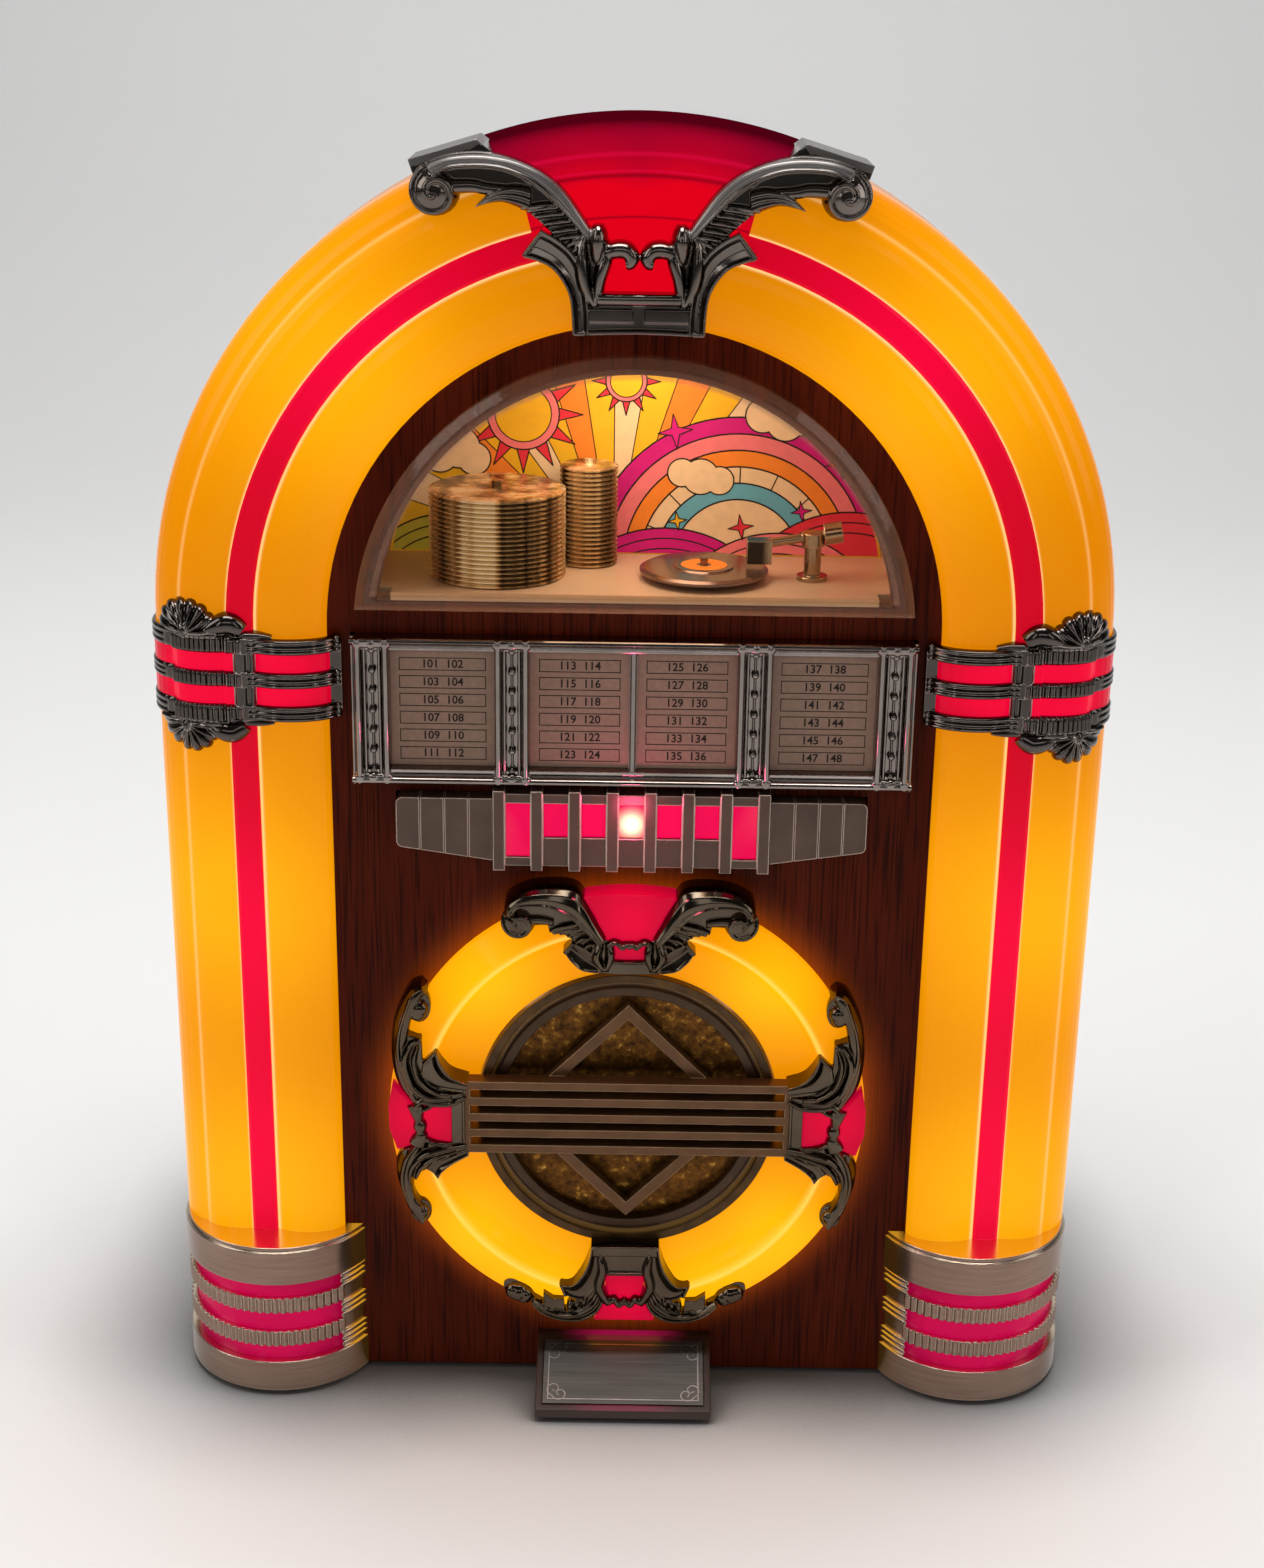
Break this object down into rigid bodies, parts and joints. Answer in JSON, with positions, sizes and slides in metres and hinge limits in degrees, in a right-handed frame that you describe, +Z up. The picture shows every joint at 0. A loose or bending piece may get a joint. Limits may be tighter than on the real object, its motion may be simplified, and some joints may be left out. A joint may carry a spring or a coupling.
{
  "type": "jukebox radio",
  "caption": "Tabletop radio in the form of a jukebox, with an arched wood cabinet, lit amber tubes, a record dome, push keys and a round speaker grille under plated scrollwork.",
  "frame": {"origin": "centre of the bounding box at the height of the surface that the rubber pads stand on", "axes": "+Z up, -Y the front with the dome and the speaker, +X to the right of someone who looks at the front"},
  "size_m": [0.2486, 0.1456, 0.341],
  "materials": {
    "walnut": "polished dark stain",
    "amber_lens": "translucent, lit from behind",
    "red_lens": "translucent, lit from behind",
    "magenta_lens": "translucent, lit from behind",
    "dark_chrome": "dark plated, softly polished",
    "foot_plate": "warm polished plate",
    "bronze": "brown bronze paint",
    "clear": "clear moulded cover",
    "stage": "pale pink moulding",
    "print": "printed card",
    "records": "gold and black moulding",
    "ivory": "cream moulding",
    "card": "grey card",
    "cloth": "crinkled gold cloth",
    "black_plastic": "fine satin",
    "black_gloss": "gloss dark brown",
    "pewter": "brushed",
    "steel": "plain",
    "rubber": "matte",
    "board": "laminate",
    "white_plastic": "moulded",
    "lamp": "warm bulb",
    "ferrite": "pressed"
  },
  "bodies": {
    "cabinet": {"cabinet_shell": "walnut", "front_panel": "walnut", "rear_cover": "black_plastic", "rear_screws": "steel", "rubber_pads": "rubber", "cord_gland": "black_plastic", "left_tube_lens": "amber_lens", "right_tube_lens": "amber_lens", "tube_stripes": "red_lens", "crown_lens": "red_lens", "crown_ornament": "dark_chrome", "left_foot": "foot_plate", "right_foot": "foot_plate", "foot_lenses": "magenta_lens", "left_clamp": "dark_chrome", "right_clamp": "dark_chrome", "clamp_shells": "dark_chrome", "clamp_lenses": "red_lens", "dome_cover": "clear", "dome_housing": "stage", "backdrop_card": "print", "record_stacks": "records", "turntable": "ivory", "tonearm": "ivory", "title_frame": "dark_chrome", "title_cards": "card", "key_bezel": "dark_chrome", "key_windows": "magenta_lens", "key_switch_board": "board", "ring_lens": "amber_lens", "ring_reflector": "white_plastic", "grille_rim": "bronze", "grille_bars": "bronze", "grille_cloth": "cloth", "speaker_frame": "steel", "speaker_cone": "black_plastic", "speaker_magnet": "ferrite", "ring_top_ornament": "dark_chrome", "ring_side_ornaments": "dark_chrome", "ring_bottom_ornament": "dark_chrome", "ring_windows": "magenta_lens", "plaque_block": "black_gloss", "plaque_plate": "pewter", "volume_control": "steel", "tuning_capacitor": "ivory", "circuit_board": "board", "transformer": "ferrite", "lamps": "lamp"},
    "key_left_1_body": {"key_left_1": "dark_chrome"},
    "key_left_2_body": {"key_left_2": "dark_chrome"},
    "key_left_3_body": {"key_left_3": "dark_chrome"},
    "key_left_4_body": {"key_left_4": "dark_chrome"},
    "key_right_1_body": {"key_right_1": "dark_chrome"},
    "key_right_2_body": {"key_right_2": "dark_chrome"},
    "key_right_3_body": {"key_right_3": "dark_chrome"},
    "key_right_4_body": {"key_right_4": "dark_chrome"},
    "volume_knob_body": {"volume_knob": "black_plastic"},
    "tuning_knob_body": {"tuning_knob": "black_plastic"}
  },
  "joints": [
    {"name": "key_left_1_press", "type": "slide", "parent": "cabinet", "child": "key_left_1_body", "axis": [0, 1, 0], "range_m": [0, 0.002], "stiffness_N_per_m": 300},
    {"name": "key_left_2_press", "type": "slide", "parent": "cabinet", "child": "key_left_2_body", "axis": [0, 1, 0], "range_m": [0, 0.002], "stiffness_N_per_m": 300},
    {"name": "key_left_3_press", "type": "slide", "parent": "cabinet", "child": "key_left_3_body", "axis": [0, 1, 0], "range_m": [0, 0.002], "stiffness_N_per_m": 300},
    {"name": "key_left_4_press", "type": "slide", "parent": "cabinet", "child": "key_left_4_body", "axis": [0, 1, 0], "range_m": [0, 0.002], "stiffness_N_per_m": 300},
    {"name": "key_right_1_press", "type": "slide", "parent": "cabinet", "child": "key_right_1_body", "axis": [0, 1, 0], "range_m": [0, 0.002], "stiffness_N_per_m": 300},
    {"name": "key_right_2_press", "type": "slide", "parent": "cabinet", "child": "key_right_2_body", "axis": [0, 1, 0], "range_m": [0, 0.002], "stiffness_N_per_m": 300},
    {"name": "key_right_3_press", "type": "slide", "parent": "cabinet", "child": "key_right_3_body", "axis": [0, 1, 0], "range_m": [0, 0.002], "stiffness_N_per_m": 300},
    {"name": "key_right_4_press", "type": "slide", "parent": "cabinet", "child": "key_right_4_body", "axis": [0, 1, 0], "range_m": [0, 0.002], "stiffness_N_per_m": 300},
    {"name": "volume_knob_turn", "type": "hinge", "parent": "cabinet", "child": "volume_knob_body", "pos_m": [0.112, 0.0313, 0.106], "axis": [1, 0, 0], "range_deg": [0, 300]},
    {"name": "tuning_knob_turn", "type": "hinge", "parent": "cabinet", "child": "tuning_knob_body", "pos_m": [0.112, 0.0313, 0.15], "axis": [1, 0, 0], "range_deg": [0, 180]}
  ]
}
